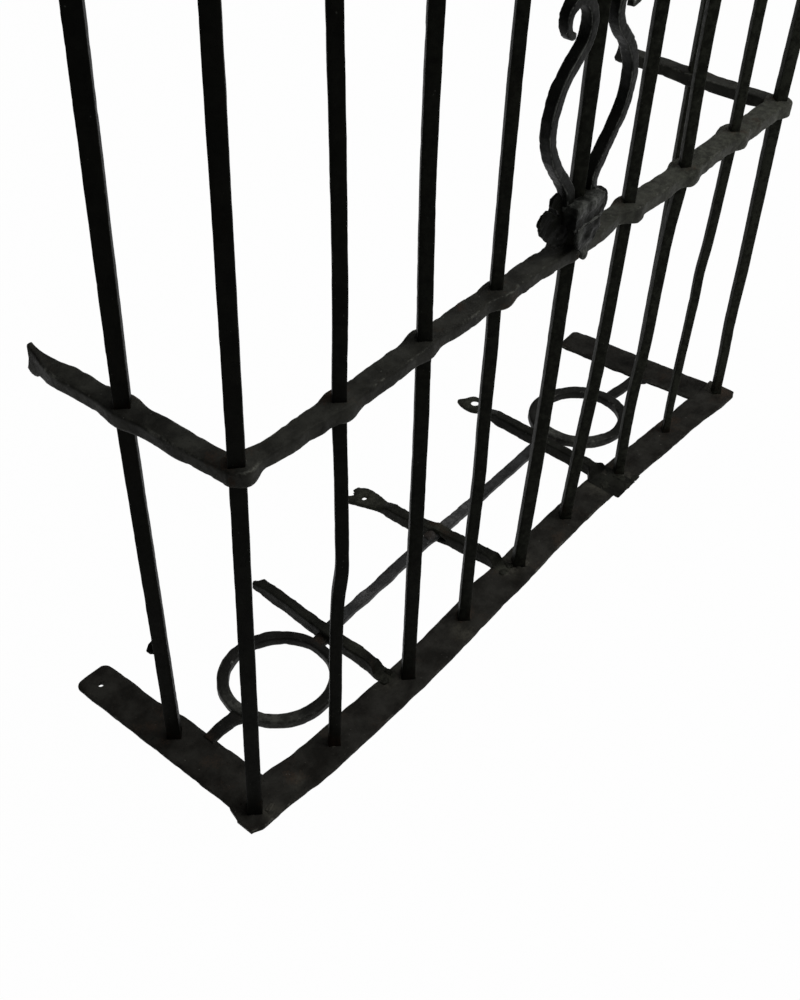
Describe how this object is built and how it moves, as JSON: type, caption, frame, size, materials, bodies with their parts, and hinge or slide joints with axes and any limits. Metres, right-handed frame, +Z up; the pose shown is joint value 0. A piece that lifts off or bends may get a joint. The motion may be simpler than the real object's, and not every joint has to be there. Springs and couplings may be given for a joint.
{
  "type": "iron balcony railing",
  "caption": "Hand-forged three-sided window balcony railing: diagonal square bars through a pierced mid rail, strap base frame with flower-pot rings, scroll ornament.",
  "frame": {"origin": "on the underside of the base front strap, midway between the corner bars and below the row of front bars", "axes": "+X along the front from the left corner to the right, +Y to the wall, +Z up"},
  "size_m": [1.064, 0.3155, 0.9835],
  "materials": {
    "strap_iron": "forged iron, worn black with brown rust bloom",
    "rail_iron": "forged iron, worn black, dull",
    "bar_iron": "forged iron, near black, slight sheen",
    "ring_iron": "forged iron, blue-black",
    "ornament_iron": "forged iron, black with pale worn edges"
  },
  "bodies": {
    "root": {"base_front_strap": "strap_iron", "base_left_arm": "strap_iron", "base_right_arm": "strap_iron", "top_front_strap": "strap_iron", "top_left_arm": "strap_iron", "top_right_arm": "strap_iron", "mid_rail_front": "rail_iron", "mid_rail_left_return": "rail_iron", "mid_rail_right_return": "rail_iron", "front_bar_1": "bar_iron", "front_bar_2": "bar_iron", "front_bar_3": "bar_iron", "front_bar_4": "bar_iron", "front_bar_5": "bar_iron", "front_bar_6": "bar_iron", "front_bar_7": "bar_iron", "front_bar_8": "bar_iron", "front_bar_9": "bar_iron", "side_bar_left": "bar_iron", "side_bar_right": "bar_iron", "wall_lug": "bar_iron", "crossbar_left": "ring_iron", "crossbar_middle": "ring_iron", "crossbar_right": "ring_iron", "tie_bar": "ring_iron", "pot_ring_left": "ring_iron", "pot_ring_right": "ring_iron", "ring_stub_left": "ring_iron", "ring_stub_right": "ring_iron", "ornament_collar": "ornament_iron", "leaf_left": "ornament_iron", "leaf_right": "ornament_iron", "leaf_front": "ornament_iron", "scroll_left": "ornament_iron", "scroll_right": "ornament_iron"}
  },
  "joints": []
}
